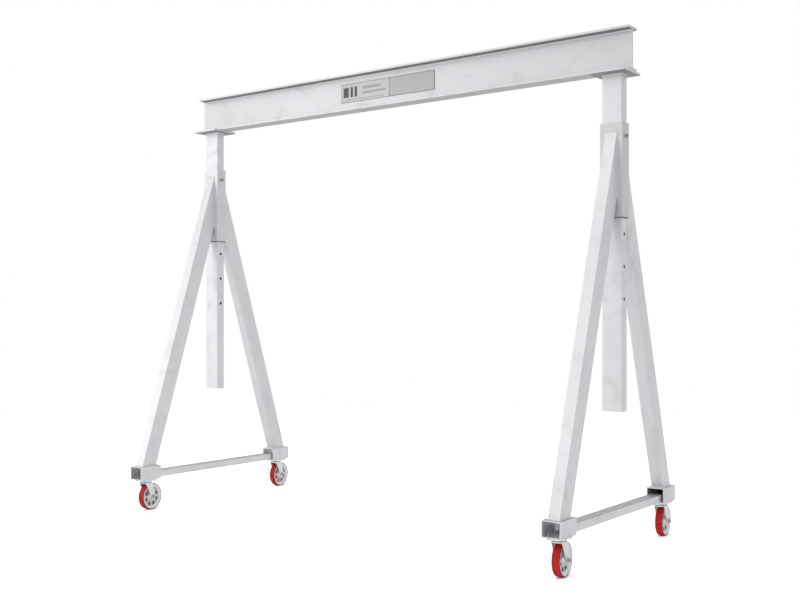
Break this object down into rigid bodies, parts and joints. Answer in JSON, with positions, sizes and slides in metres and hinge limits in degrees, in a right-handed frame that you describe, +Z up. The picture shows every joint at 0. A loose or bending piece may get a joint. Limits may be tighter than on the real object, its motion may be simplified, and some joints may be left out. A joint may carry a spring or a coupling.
{
  "type": "portable gantry crane",
  "caption": "Aluminium portable gantry crane: an I-beam on two telescoping A-frame ends that roll on swivel casters, set in height by pull pins in a row of holes.",
  "frame": {"origin": "on the floor at the middle of the span, midway between the front and back feet", "axes": "+Z up, +X along the beam towards the right end frame, +Y towards the back legs"},
  "size_m": [2.874, 1.2731, 2.471],
  "materials": {
    "aluminium": "satin mill finish",
    "name_plate": "satin printed",
    "pin_steel": "blackened",
    "zinc": "bright zinc plated",
    "fastener": "zinc plated",
    "wheel_core": "machined casting",
    "bronze": "plain bearing",
    "tread": "satin polyurethane"
  },
  "bodies": {
    "left_frame": {"left_sleeve": "aluminium", "left_base_rail": "aluminium", "left_caster_bolts": "fastener", "left_caster_nuts": "fastener", "left_front_leg": "aluminium", "left_front_foot": "aluminium", "left_front_mount_plate": "zinc", "left_front_kingpin": "fastener", "left_back_leg": "aluminium", "left_back_foot": "aluminium", "left_back_mount_plate": "zinc", "left_back_kingpin": "fastener"},
    "beam_assembly": {"beam": "aluminium", "name_plate": "name_plate", "left_top_plate": "aluminium", "left_post": "aluminium", "right_top_plate": "aluminium", "right_post": "aluminium"},
    "right_frame": {"right_sleeve": "aluminium", "right_base_rail": "aluminium", "right_caster_bolts": "fastener", "right_caster_nuts": "fastener", "right_front_leg": "aluminium", "right_front_foot": "aluminium", "right_front_mount_plate": "zinc", "right_front_kingpin": "fastener", "right_back_leg": "aluminium", "right_back_foot": "aluminium", "right_back_mount_plate": "zinc", "right_back_kingpin": "fastener"},
    "left_lock_pin": {"left_lock_pin": "pin_steel"},
    "left_front_swivel": {"left_front_fork": "zinc", "left_front_axle": "fastener", "left_front_axle_nut": "fastener", "left_front_bearing_balls": "fastener"},
    "left_front_wheel": {"left_front_wheel_core": "wheel_core", "left_front_tread": "tread", "left_front_wheel_bearing": "bronze"},
    "left_back_swivel": {"left_back_fork": "zinc", "left_back_axle": "fastener", "left_back_axle_nut": "fastener", "left_back_bearing_balls": "fastener"},
    "left_back_wheel": {"left_back_wheel_core": "wheel_core", "left_back_tread": "tread", "left_back_wheel_bearing": "bronze"},
    "right_lock_pin": {"right_lock_pin": "pin_steel"},
    "right_front_swivel": {"right_front_fork": "zinc", "right_front_axle": "fastener", "right_front_axle_nut": "fastener", "right_front_bearing_balls": "fastener"},
    "right_front_wheel": {"right_front_wheel_core": "wheel_core", "right_front_tread": "tread", "right_front_wheel_bearing": "bronze"},
    "right_back_swivel": {"right_back_fork": "zinc", "right_back_axle": "fastener", "right_back_axle_nut": "fastener", "right_back_bearing_balls": "fastener"},
    "right_back_wheel": {"right_back_wheel_core": "wheel_core", "right_back_tread": "tread", "right_back_wheel_bearing": "bronze"}
  },
  "joints": [
    {"name": "beam_height", "type": "slide", "parent": "left_frame", "child": "beam_assembly", "axis": [0, 0, 1], "range_m": [0, 0.762]},
    {"name": "right_frame_height", "type": "slide", "parent": "beam_assembly", "child": "right_frame", "axis": [0, 0, -1], "range_m": [0, 0.762]},
    {"name": "left_lock_pin_push", "type": "slide", "parent": "left_frame", "child": "left_lock_pin", "axis": [-1, 0, 0], "range_m": [0, 0.008]},
    {"name": "right_lock_pin_push", "type": "slide", "parent": "right_frame", "child": "right_lock_pin", "axis": [-1, 0, 0], "range_m": [0, 0.008]},
    {"name": "left_front_swivel_turn", "type": "hinge", "parent": "left_frame", "child": "left_front_swivel", "pos_m": [-1.345, -0.5445, 0.162], "axis": [0, 0, 1], "continuous": true},
    {"name": "left_front_wheel_spin", "type": "hinge", "parent": "left_front_swivel", "child": "left_front_wheel", "pos_m": [-1.34855, -0.51069, 0.076], "axis": [0.9945, 0.1045, 0], "continuous": true},
    {"name": "left_back_swivel_turn", "type": "hinge", "parent": "left_frame", "child": "left_back_swivel", "pos_m": [-1.345, 0.5445, 0.162], "axis": [0, 0, 1], "continuous": true},
    {"name": "left_back_wheel_spin", "type": "hinge", "parent": "left_back_swivel", "child": "left_back_wheel", "pos_m": [-1.34855, 0.57831, 0.076], "axis": [0.9945, 0.1045, 0], "continuous": true},
    {"name": "right_front_swivel_turn", "type": "hinge", "parent": "right_frame", "child": "right_front_swivel", "pos_m": [1.345, -0.5445, 0.162], "axis": [0, 0, 1], "continuous": true},
    {"name": "right_front_wheel_spin", "type": "hinge", "parent": "right_front_swivel", "child": "right_front_wheel", "pos_m": [1.34145, -0.51069, 0.076], "axis": [0.9945, 0.1045, 0], "continuous": true},
    {"name": "right_back_swivel_turn", "type": "hinge", "parent": "right_frame", "child": "right_back_swivel", "pos_m": [1.345, 0.5445, 0.162], "axis": [0, 0, 1], "continuous": true},
    {"name": "right_back_wheel_spin", "type": "hinge", "parent": "right_back_swivel", "child": "right_back_wheel", "pos_m": [1.34145, 0.57831, 0.076], "axis": [0.9945, 0.1045, 0], "continuous": true}
  ],
  "couplings": [
    {"joint": "right_frame_height", "follows": "beam_height", "ratio": 1}
  ]
}
